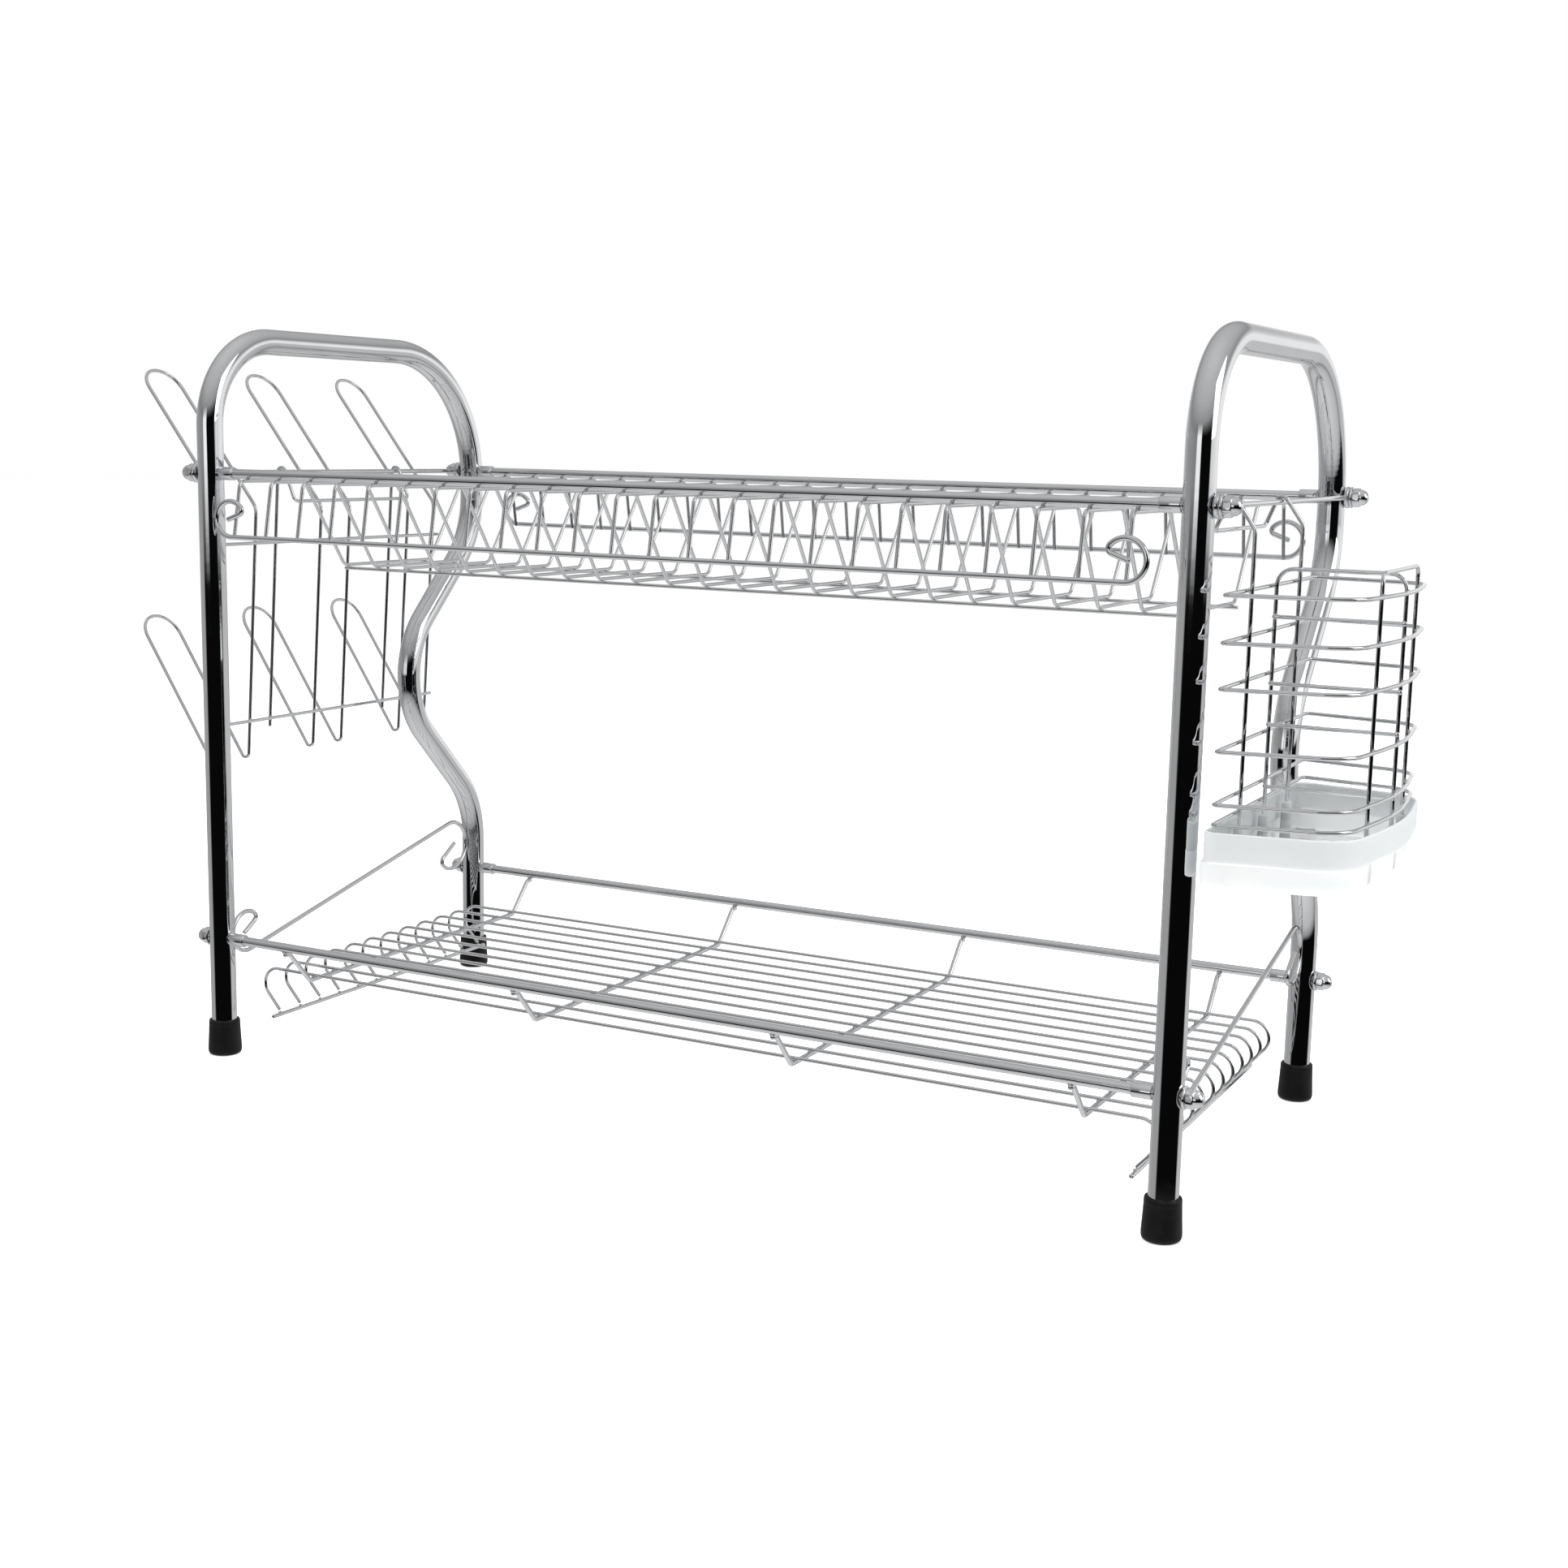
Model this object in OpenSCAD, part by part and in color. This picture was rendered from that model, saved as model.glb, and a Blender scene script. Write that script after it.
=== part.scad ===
// Two-tier dish drying rack. Two bent tube frames stand at the ends and four rails join them.
// A wire plate rack hangs between the upper rails and a wire shelf between the lower ones.
// A cup holder hooks over the hanger wire of the left frame, a cutlery basket with a drip cup
// over the one on the right. +X runs along the rails, +Y to the rear, +Z up from the ground.

/* [Frame] */
// Distance between the two end frames, centre to centre
frame_spacing = 509; // [499:1:520]
// Distance between the front and the rear legs, centre to centre
leg_spacing = 219; // [217:1:222]
// Height of the frames above the ground
frame_h = 374.5; // [370:0.5:380]
// Outer diameter of the frame tube
tube_d = 13; // [12.5:0.1:13.2]
// Wall of the frame tube
tube_wall = 1; // [0.8:0.1:1.2]
// Bend radius of the frame's top front corner
front_bend_r = 44; // [42:1:48]
// Bend radius of the frame's top rear corner
rear_bend_r = 70; // [66:1:72]
// Height where the rear leg starts to lean in to the waist
shoulder_z = 265; // [262:1:268]
// Height of the waist of the rear leg
waist_z = 184; // [182:1:186]
// Bend radius of the waist
waist_r = 47.5; // [44:0.5:50]
// Bend radius above and below the waist
shoulder_r = 55; // [50:1:58]

/* [Feet] */
// Height of a rubber foot cap
foot_h = 18.5; // [17:0.5:20]
// Largest diameter of a foot cap
foot_d = 17.2; // [16.8:0.1:18]
// Thickness of a foot cap's sole
foot_sole = 3; // [2:0.5:4]

/* [Rails] */
// Height of the upper rails
upper_z = 301.5; // [300:0.5:303]
// Height of the lower rails
lower_z = 62; // [60:0.5:64]
// Diameter of a rail rod
rail_d = 4.8; // [4.6:0.1:5]
// Diameter of the collar at each end of a rail
collar_d = 6.6; // [6.2:0.1:7]
// Length of a rail collar
collar_len = 9; // [7:0.5:10]
// Width of an acorn nut across its flats
nut_af = 8; // [8:0.1:8.6]
// Diameter of a washer
washer_d = 10; // [9.5:0.1:11]

/* [Plate rack] */
// Number of plate wires
plate_count = 24; // [20:1:26]
// Distance between the first and the last plate wire
plate_span = 460; // [440:1:462]
// Diameter of a thin wire
thin_d = 1.8; // [1.6:0.1:2]
// Diameter of a stout wire
stout_d = 2.5; // [2.3:0.1:2.6]
// How far the ends of the plate wires stand out from the rails
drop_out = 11; // [10:0.5:12]
// How far a dropper leans in towards its rail
drop_lean = 5; // [4:0.5:6]
// Height of the guard wires
guard_z = 270.8; // [269:0.2:273]
// Radius of a guard wire's scroll
guard_scroll_r = 8.8; // [8:0.2:9.2]
// Distance from the middle to where a plate wire starts to slope down
slope_top_y = 68; // [66:1:70]
// Distance from the middle to where a plate wire reaches the floor of the rack
slope_foot_y = 37; // [35:1:39]
// Height of the floor of the plate rack
plate_floor_z = 253.5; // [252:0.5:255]

/* [Shelf] */
// Number of long wires in the shelf
shelf_count = 12; // [10:1:12]
// Distance between the first and the last long wire
shelf_depth = 176; // [170:1:178]
// Height of the long wires
shelf_z = 43; // [42:0.5:44]
// Diameter of a cross wire
cross_d = 2.6; // [2.4:0.1:2.8]
// Distance between neighbouring cross wires
cross_pitch = 141.6; // [138:0.2:143]
// Radius of the curl at the end of a long wire
curl_r = 8.5; // [8:0.1:8.8]

/* [Cup holder] */
// Distance between neighbouring cup loops
loop_pitch = 76; // [72:1:78]
// Width of a cup loop between wire centres
loop_w = 24; // [22:1:26]
// Length of an upper prong
upper_prong = 90; // [80:1:95]
// Length of a lower prong
lower_prong = 95; // [85:1:98]

/* [Cutlery basket] */
// Middle of the basket along the frame
basket_y = -51; // [-52:0.5:-48]
// Width of the basket along the frame
basket_w = 144; // [140:1:146]
// Depth of the basket out from the frame
basket_depth = 56.5; // [55:0.5:58]
// Height of the drip cup
cup_h = 22.5; // [20:0.5:24]

/* [Hidden] */
$fn = 48;

weld_gap = 0.05;
seam = 0.002;
frame_x = frame_spacing / 2;
leg_y = leg_spacing / 2;
tube_r = tube_d / 2;
rail_r = rail_d / 2;
thin_r = thin_d / 2;
stout_r = stout_d / 2;
cross_r = cross_d / 2;

top_z = frame_h - tube_r;
waist_y = leg_y - (shoulder_z - waist_z);
hip_z = waist_z - (shoulder_z - waist_z);
bolt_clear = 0.3;

washer_t = 1.2;
nut_hex = 3.6;
nut_dome = 3.8;
hanger_x = frame_x + tube_r + weld_gap + stout_r;
eye_r = 3.9;
upper_stack = hanger_x + stout_r + weld_gap;
lower_stack = frame_x + tube_r + weld_gap;
rail_reach = lower_stack + washer_t + nut_hex + 1;

plate_pitch = plate_span / (plate_count - 1);
plate_top_z = upper_z - rail_r - thin_r - weld_gap;
drop_y = leg_y + drop_out;
guard_y = drop_y + thin_r + stout_r + weld_gap;

cross_z = shelf_z - thin_r - cross_r - weld_gap;
cross_foot_y = shelf_depth / 2 + 3;
curl_x = frame_x - tube_r - curl_r - thin_r - 2;
curl_angle = 132;
curl_tail = 30;
toe_bar_d = 2.2;

inner_slope = 68;
hook_r = stout_r + 0.25 + thin_r;
cup_x = -frame_x - 11.7;
cup_foot_x = cup_x - 9.2;
cup_elbow_z = 283;
cup_vee_z = 144.5;
basket_x = frame_x + 17.4;
hook_half = 38;
ring_x = basket_x - thin_d - weld_gap;
ring_zs = [268, 249.5, 231.5, 207, 186, 178];
divider_zs = [255.3, 227.5, 210.2, 184];
leg_end_z = 168;
basket_top_z = 277;
cup_rim_z = 175.5;
cup_floor_z = cup_rim_z - cup_h;

function unit(v) = v / norm(v);
function turning(a, b, c) = acos(unit(b - a) * unit(c - b));
function setback(a, b, c, r) = r * tan(turning(a, b, c) / 2);

// A straight round rod between two points
module rod(a, b, d) {
    v = b - a;
    translate(a)
        rotate([0, acos(v.z / norm(v)), atan2(v.y, v.x)])
            cylinder(h = norm(v), d = d);
}

// An arc of round wire about centre c, from direction u round towards direction w
module arc(c, u, w, r, angle, d) {
    n = cross(u, w);
    multmatrix([
        [u.x, w.x, n.x, c.x],
        [u.y, w.y, n.y, c.y],
        [u.z, w.z, n.z, c.z],
        [0, 0, 0, 1]
    ])
        rotate_extrude(angle = angle)
            translate([r, 0])
                circle(d = d);
}

// The bend at corner b of a wire that runs from a to c
module corner(a, b, c, r, d) {
    along = unit(b - a);
    onward = unit(c - b);
    inward = unit(onward - (along * onward) * along);
    arc(b - setback(a, b, c, r) * along + r * inward, -inward, along, r, turning(a, b, c), d);
}

// A wire through a list of [corner point, bend radius]; a closed one has no ends.
// Its straight and bent lengths meet end to end, a hair apart, so that each stays a true solid
module wire(path, d, closed = false) {
    count = len(path);
    ends = closed ? 0 : 1;
    cuts = [
        for (i = [0 : count - 1])
            (!closed && (i == 0 || i == count - 1)) ? 0 : setback(
                path[(i + count - 1) % count][0], path[i][0], path[(i + 1) % count][0], path[i][1])
    ];
    for (i = [0 : count - 1 - ends]) {
        j = (i + 1) % count;
        dir = unit(path[j][0] - path[i][0]);
        start = path[i][0] + (cuts[i] > 0 ? cuts[i] + seam : 0) * dir;
        stop = path[j][0] - (cuts[j] > 0 ? cuts[j] + seam : 0) * dir;
        if ((stop - start) * dir > 0.05)
            rod(start, stop, d);
    }
    for (i = [ends : count - 1 - ends])
        corner(path[(i + count - 1) % count][0], path[i][0], path[(i + 1) % count][0],
            path[i][1], d);
}

// A scroll at the end of a wire: it leaves point p along direction u and curls towards w
module scroll(p, u, w, r, d) {
    big = 228;
    small = 112;
    small_r = r * 0.24;
    heading = big + small;
    out = cos(big) * u + sin(big) * w;
    side = -sin(big) * u + cos(big) * w;
    big_end = p + r * w + r * (sin(big) * u - cos(big) * w);
    small_c = big_end + small_r * side;
    tail_dir = cos(heading) * u + sin(heading) * w;
    tail_start = small_c + small_r * (sin(heading) * u - cos(heading) * w);
    arc(p + r * w, -w, u, r, big, d);
    arc(small_c + seam * out, -side, out, small_r, small, d);
    rod(tail_start + 2 * seam * tail_dir, tail_start + 0.95 * r * tail_dir, d);
}

// The straight lengths of an end frame from the front foot over the top to the rear foot, each
// with the bend after it: [length, degrees, bend radius]
function frame_run(end_z) =
    let (
        soft = shoulder_r * tan(22.5),
        lean = norm([leg_y - waist_y, shoulder_z - waist_z]) - soft - waist_r
    ) [
        [top_z - front_bend_r - end_z, 90, front_bend_r],
        [leg_spacing - front_bend_r - rear_bend_r, 90, rear_bend_r],
        [top_z - rear_bend_r - shoulder_z - soft, 45, shoulder_r],
        [lean, -90, waist_r],
        [lean, 45, shoulder_r],
        [hip_z - soft - end_z, 0, 0]
    ];

module tube_section() {
    difference() {
        circle(d = tube_d);
        circle(d = tube_d - 2 * tube_wall);
    }
}

// A tube bent along a run of steps; it starts up along Z and positive bends lean towards X
module bent_tube(steps, i = 0) {
    turn = steps[i][1];
    r = steps[i][2];
    translate([0, 0, seam])
        linear_extrude(height = steps[i][0] - 2 * seam)
            tube_section();
    if (turn != 0)
        translate([0, 0, steps[i][0]])
            rotate([0, 0, turn < 0 ? 180 : 0])
                translate([r, 0, 0]) {
                    rotate([90, 0, 0])
                        rotate_extrude(angle = abs(turn), start = 180 - abs(turn))
                            translate([r, 0])
                                tube_section();
                    rotate([0, abs(turn), 0])
                        translate([-r, 0, 0])
                            rotate([0, 0, turn < 0 ? 180 : 0])
                                bent_tube(steps, i + 1);
                }
}

module frame_tube(x) {
    color("gainsboro")
        difference() {
            translate([x, -leg_y, foot_sole + weld_gap])
                rotate([0, 0, 90])
                    bent_tube(frame_run(foot_sole + weld_gap));
            for (y = [-leg_y, leg_y], z = [lower_z, upper_z])
                rod([x - tube_d, y, z], [x + tube_d, y, z], rail_d + bolt_clear);
        }
}

module foot_cap(x, y) {
    wall_top = 15.8 / 2;
    color("#161616")
        translate([x, y, 0])
            difference() {
                rotate_extrude()
                    polygon([
                        [0, 0], [foot_d / 2 - 1.8, 0], [foot_d / 2 - 0.6, 0.6], [foot_d / 2, 2],
                        [foot_d / 2 - 0.1, 4], [wall_top, foot_h - 0.8], [wall_top - 0.5, foot_h],
                        [0, foot_h]
                    ]);
                translate([0, 0, foot_sole])
                    cylinder(h = foot_h, d = tube_d + 2 * weld_gap);
            }
}

// A rail: one rod whose threaded ends pass through the legs and into the nuts
module rail(y, z, reach) {
    color("silver")
        rod([-reach, y, z], [reach, y, z], rail_d);
}

module rail_collars() {
    inner = frame_x - tube_r - weld_gap;
    color("silver")
        for (s = [-1, 1], y = [-leg_y, leg_y], z = [lower_z, upper_z])
            difference() {
                rod([s * (inner - collar_len), y, z], [s * inner, y, z], collar_d);
                rod([s * (inner - collar_len - 1), y, z], [s * (inner + 1), y, z],
                    rail_d + 2 * weld_gap);
            }
}

module washers() {
    color("gray")
        for (s = [-1, 1], y = [-leg_y, leg_y], level = [[lower_z, lower_stack], [upper_z, upper_stack]])
            difference() {
                rod([s * level[1], y, level[0]], [s * (level[1] + washer_t), y, level[0]], washer_d);
                rod([s * (level[1] - 1), y, level[0]], [s * (level[1] + 3), y, level[0]],
                    rail_d + bolt_clear);
            }
}

// An acorn nut: hexagon, domed cap and a blind bore, lying along +Z
module acorn_nut() {
    hex_r = nut_af / 2 / cos(30);
    dome_r = nut_af / 2 - 0.2;
    difference() {
        union() {
            cylinder(h = nut_hex, r = hex_r, $fn = 6);
            translate([0, 0, nut_hex])
                rotate_extrude()
                    intersection() {
                        translate([0, nut_dome - dome_r])
                            circle(r = dome_r);
                        square([dome_r, nut_dome]);
                    }
        }
        translate([0, 0, -1])
            cylinder(h = nut_hex + 3, d = rail_d + 2 * weld_gap);
    }
}

module acorn_nuts() {
    color("silver")
        for (s = [-1, 1], y = [-leg_y, leg_y], level = [[lower_z, lower_stack], [upper_z, upper_stack]])
            translate([s * (level[1] + washer_t + weld_gap), y, level[0]])
                rotate([0, s * 90, 0])
                    acorn_nut();
}

// The wire outside a frame that the accessories hook over, with an eye round each bolt
module hanger_wire(x) {
    color("silver")
        translate([x, 0, upper_z]) {
            rod([0, -leg_y + eye_r, 0], [0, leg_y - eye_r, 0], stout_d);
            for (y = [-leg_y, leg_y])
                translate([0, y, 0])
                    rotate([0, 90, 0])
                        rotate_extrude()
                            translate([eye_r, 0])
                                circle(d = stout_d);
        }
}

module guard_wire(y) {
    half = plate_span / 2;
    color("silver") {
        rod([seam - half, y, guard_z], [half - seam, y, guard_z], stout_d);
        for (s = [-1, 1])
            scroll([s * half, y, guard_z], [s, 0, 0], [0, 0, 1], guard_scroll_r, stout_d);
    }
}

// One plate wire: dropper, run under the front rail, slope, floor, and the same up to the rear
module plate_wire(x) {
    drop_foot_z = guard_z - stout_r;
    half = [
        [[x, drop_y + 0.2, drop_foot_z], 0],
        [[x, drop_y - drop_lean, plate_top_z], 3.5],
        [[x, slope_top_y, plate_top_z], 6],
        [[x, slope_foot_y, plate_floor_z], 5]
    ];
    front = [for (p = half) [[p[0].x, -p[0].y, p[0].z], p[1]]];
    rear = [for (i = [3 : -1 : 0]) half[i]];
    wire(concat(front, rear), thin_d);
}

module plate_wires(first, last) {
    color("silver")
        for (i = [first : last])
            plate_wire(-plate_span / 2 + i * plate_pitch);
}

module plate_floor_wire(y) {
    z = plate_floor_z - thin_d - weld_gap;
    reach = plate_span / 2 + 3;
    color("silver")
        rod([-reach, y, z], [reach, y, z], thin_d);
}

module shelf_cross_wire(i) {
    x = (i - 2.5) * cross_pitch;
    top_z = lower_z - rail_r - cross_r - weld_gap;
    color("silver")
        wire([
            [[x, -leg_y - 1, top_z], 0],
            [[x, -leg_y + 3, top_z], 2],
            [[x, -cross_foot_y, cross_z], 3],
            [[x, cross_foot_y, cross_z], 3],
            [[x, leg_y - 3, top_z], 2],
            [[x, leg_y + 1, top_z], 0]
        ], cross_d);
}

// The long wires of the shelf, each with a curled end that turns back in to the toe bar
module shelf_long_wires() {
    reach = curl_x + setback([-1, 0, 0], [0, 0, 0],
        [-cos(curl_angle - 180), 0, sin(curl_angle - 180)], curl_r);
    tail_x = reach + curl_tail * cos(curl_angle);
    tail_z = shelf_z - curl_tail * sin(curl_angle);
    color("silver")
        for (i = [0 : shelf_count - 1]) {
            y = -shelf_depth / 2 + i * shelf_depth / (shelf_count - 1);
            wire([
                [[-tail_x, y, tail_z], 0],
                [[-reach, y, shelf_z], curl_r],
                [[reach, y, shelf_z], curl_r],
                [[tail_x, y, tail_z], 0]
            ], thin_d);
        }
}

module shelf_toe_bar(side) {
    x = curl_x + curl_r * tan(curl_angle / 2) + (curl_tail + 0.4) * cos(curl_angle);
    z = shelf_z - curl_tail * sin(curl_angle) - (toe_bar_d + thin_d) / 2 - 0.3;
    reach = shelf_depth / 2 + 6;
    color("silver")
        rod([side * x, -reach, z], [side * x, reach, z], toe_bar_d);
}

// The S-shaped wire between the legs of a frame: a small scroll in front, a large one behind
module side_scroll(x) {
    front_r = 10.5;
    rear_r = 14;
    touch_y = leg_y - tube_r - weld_gap - stout_r;
    front_c = [x, front_r - touch_y, lower_z];
    rear_c = [x, touch_y - rear_r, lower_z + 16.5];
    span = rear_c - front_c;
    slope = atan2(span.z, span.y) + asin((front_r + rear_r) / norm(span));
    along = [0, cos(slope), sin(slope)];
    up = [0, -sin(slope), cos(slope)];
    front_p = front_c - front_r * up;
    rear_p = rear_c + rear_r * up;
    color("silver") {
        rod(front_p + seam * along, rear_p - seam * along, stout_d);
        scroll(front_p, -along, up, front_r, stout_d);
        scroll(rear_p, along, -up, rear_r, stout_d);
    }
}

// A closed cup loop: two uprights, two prongs up and out, and a V below each upright
module cup_loop(y) {
    lean_up = 51.2;
    lean_low = 56.1;
    half = loop_w / 2;
    elbow = [cup_x, 0, cup_elbow_z];
    vee = [cup_foot_x, 0, cup_vee_z];
    tip_up = elbow + upper_prong * [-cos(lean_up), 0, sin(lean_up)];
    tip_low = vee + lower_prong * [-cos(lean_low), 0, sin(lean_low)];
    near = [0, y - half, 0];
    far = [0, y + half, 0];
    tip_r = half - seam;
    color("silver")
        wire([
            [vee + near, 2.5],
            [elbow + near, 8],
            [tip_up + near, tip_r],
            [tip_up + far, tip_r],
            [elbow + far, 8],
            [vee + far, 2.5],
            [tip_low + far, tip_r],
            [tip_low + near, tip_r]
        ], thin_d, closed = true);
}

// Where the leaning uprights of the cup holder are at height z
cup_lean = (cup_x - cup_foot_x) / (cup_elbow_z - cup_vee_z);
function cup_lean_x(z) = cup_x + cup_lean * (z - cup_elbow_z);

module cup_bar(z) {
    x = cup_lean_x(z) + thin_d + weld_gap;
    reach = loop_pitch + loop_w / 2 + 3;
    color("silver")
        rod([x, -reach, z], [x, reach, z], thin_d);
}

// A pair of hooks made from one wire, joined by a bar inside the frame. Each hook falls at slope
// outer_slope to an upright that ends at foot_x and end_z; lean is its x per unit of height
module hook_wire(side, y, half, foot_x, end_z, lean, bar_z, outer_slope) {
    apex = hook_r / sin(inner_slope + outer_slope) * [
        side * (cos(inner_slope) - cos(outer_slope)), 0, sin(inner_slope) + sin(outer_slope)
    ] + [side * hanger_x, 0, upper_z];
    fall = side / tan(outer_slope);
    knee_z = (apex.x + fall * apex.z - foot_x + lean * end_z) / (lean + fall);
    knee_x = foot_x + lean * (knee_z - end_z);
    bar_x = apex.x - side * (apex.z - bar_z) / tan(inner_slope);
    color("silver")
        wire([
            [[foot_x, y - half, end_z], 0],
            [[knee_x, y - half, knee_z], 4],
            [[apex.x, y - half, apex.z], hook_r],
            [[bar_x, y - half, bar_z], 2.5],
            [[bar_x, y + half, bar_z], 2.5],
            [[apex.x, y + half, apex.z], hook_r],
            [[knee_x, y + half, knee_z], 4],
            [[foot_x, y + half, end_z], 0]
        ], thin_d);
}

// Corners of the basket's plan, grown outwards by g: straight to the frame, bowed outside
function basket_plan(g, z) = [
    [[ring_x - g, basket_y - basket_w / 2 - g, z], 2.2 + g],
    [[ring_x + basket_depth - 6.2 + 0.9 * g, basket_y - basket_w / 2 + 9 - g, z], 16 + g],
    [[ring_x + basket_depth + 1.7 + g, basket_y, z], 220 + g],
    [[ring_x + basket_depth - 6.2 + 0.9 * g, basket_y + basket_w / 2 - 9 + g, z], 16 + g],
    [[ring_x - g, basket_y + basket_w / 2 + g, z], 2.2 + g]
];

module basket_ring(i) {
    color("silver")
        wire(basket_plan(0, ring_zs[i - 1]), thin_d, closed = true);
}

// How far out the bowed side of a ring runs, at a distance from the basket's middle
bow_inner = ring_x + basket_depth - thin_d - weld_gap;
outer_leg_offset = 34;
outer_leg_x = bow_inner - 2.7;

module basket_divider_hoop() {
    color("silver")
        wire([
            [[basket_x, basket_y, leg_end_z], 0],
            [[basket_x, basket_y, basket_top_z - thin_d - weld_gap], 7],
            [[bow_inner, basket_y, basket_top_z - thin_d - weld_gap], 7],
            [[bow_inner, basket_y, leg_end_z], 0]
        ], thin_d);
}

module basket_divider_bars() {
    y = basket_y - thin_d - weld_gap;
    color("silver")
        for (z = divider_zs)
            rod([basket_x - 0.5, y, z], [bow_inner + 0.2, y, z], thin_d);
}

module basket_outer_hoop() {
    color("silver")
        wire([
            [[outer_leg_x, basket_y - outer_leg_offset, leg_end_z], 0],
            [[outer_leg_x, basket_y - outer_leg_offset, basket_top_z], 4],
            [[outer_leg_x, basket_y + outer_leg_offset, basket_top_z], 4],
            [[outer_leg_x, basket_y + outer_leg_offset, leg_end_z], 0]
        ], thin_d);
}

// The points of a rounded corner, for an outline in plan
function corner_points(a, b, c, r, steps) =
    let (
        along = unit(b - a),
        onward = unit(c - b),
        inward = unit(onward - (along * onward) * along),
        centre = b - setback(a, b, c, r) * along + r * inward
    ) [
        for (k = [0 : steps])
            let (t = turning(a, b, c) * k / steps, p = centre + r * (sin(t) * along - cos(t) * inward))
                [p.x, p.y]
    ];

function plan_outline(g) =
    let (p = basket_plan(g, 0), n = len(p)) [
        for (i = [0 : n - 1])
            each corner_points(p[(i + n - 1) % n][0], p[i][0], p[(i + 1) % n][0], p[i][1], 6)
    ];

module plan_slab(g, z, h) {
    translate([0, 0, z])
        linear_extrude(height = h)
            polygon(plan_outline(g));
}

// The cup under the basket: a deep lip, a body stepped in below it, and sockets for the legs
module drip_cup() {
    lip_h = 12;
    floor_t = 1.6;
    socket_d = 5;
    shift = [-2, 0, 0];
    legs = [
        [basket_x, basket_y - hook_half], [basket_x, basket_y], [basket_x, basket_y + hook_half],
        [bow_inner, basket_y],
        [outer_leg_x, basket_y - outer_leg_offset], [outer_leg_x, basket_y + outer_leg_offset]
    ];
    color("whitesmoke", 0.8)
        difference() {
            union() {
                difference() {
                    union() {
                        plan_slab(3.4, cup_rim_z - lip_h, lip_h);
                        translate(shift)
                            plan_slab(2.6, cup_floor_z, cup_h - lip_h);
                    }
                    plan_slab(2, cup_rim_z - lip_h, lip_h + 1);
                    translate(shift)
                        plan_slab(1.2, cup_floor_z + floor_t, cup_h - lip_h);
                }
                for (p = legs)
                    translate([p.x, p.y, cup_floor_z + floor_t / 2])
                        cylinder(h = leg_end_z + 3 - cup_floor_z - floor_t / 2, d = socket_d);
            }
            for (p = legs)
                translate([p.x, p.y, leg_end_z - 0.3])
                    cylinder(h = 10, d = thin_d + 0.6);
        }
}

frame_tube(-frame_x);  // left_frame_tube
frame_tube(frame_x);  // right_frame_tube
foot_cap(-frame_x, -leg_y);  // foot_cap_left_front
foot_cap(-frame_x, leg_y);  // foot_cap_left_rear
foot_cap(frame_x, -leg_y);  // foot_cap_right_front
foot_cap(frame_x, leg_y);  // foot_cap_right_rear
rail(-leg_y, upper_z, rail_reach + stout_d);  // upper_front_rail
rail(leg_y, upper_z, rail_reach + stout_d);  // upper_rear_rail
rail(-leg_y, lower_z, rail_reach);  // lower_front_rail
rail(leg_y, lower_z, rail_reach);  // lower_rear_rail
rail_collars();
washers();
acorn_nuts();
hanger_wire(-hanger_x);  // left_hanger_wire
hanger_wire(hanger_x);  // right_hanger_wire
guard_wire(-guard_y);  // front_guard_wire
guard_wire(guard_y);  // rear_guard_wire
plate_wires(0, plate_count / 2 - 1);  // plate_wires_left
plate_wires(plate_count / 2, plate_count - 1);  // plate_wires_right
plate_floor_wire(4 - slope_foot_y);  // plate_floor_wire_front
plate_floor_wire(slope_foot_y - 4);  // plate_floor_wire_rear
shelf_cross_wire(1);  // shelf_cross_wire_1
shelf_cross_wire(2);  // shelf_cross_wire_2
shelf_cross_wire(3);  // shelf_cross_wire_3
shelf_cross_wire(4);  // shelf_cross_wire_4
shelf_long_wires();
shelf_toe_bar(-1);  // shelf_toe_bar_left
shelf_toe_bar(1);  // shelf_toe_bar_right
side_scroll(-frame_x);  // side_scroll_left
side_scroll(frame_x);  // side_scroll_right
cup_loop(-loop_pitch);  // cup_loop_front
cup_loop(0);  // cup_loop_middle
cup_loop(loop_pitch);  // cup_loop_rear
cup_bar(264.5);  // cup_bar_upper
cup_bar(169.5);  // cup_bar_lower
hook_wire(-1, 0, 48, cup_lean_x(164.5), 164.5, cup_lean, 286.5, 64);  // cup_hook_wire
basket_ring(1);  // basket_ring_1
basket_ring(2);  // basket_ring_2
basket_ring(3);  // basket_ring_3
basket_ring(4);  // basket_ring_4
basket_ring(5);  // basket_ring_5
basket_ring(6);  // basket_ring_6
basket_divider_hoop();
basket_divider_bars();
basket_outer_hoop();
hook_wire(1, basket_y, hook_half, basket_x, leg_end_z, 0, 291, 55);  // basket_hook_wire
drip_cup();
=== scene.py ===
"""Looks for the two-tier dish drying rack: bright chrome-plated tube and wire, black rubber
feet and a frosted drip cup, on a pale studio floor."""
import math

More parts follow.
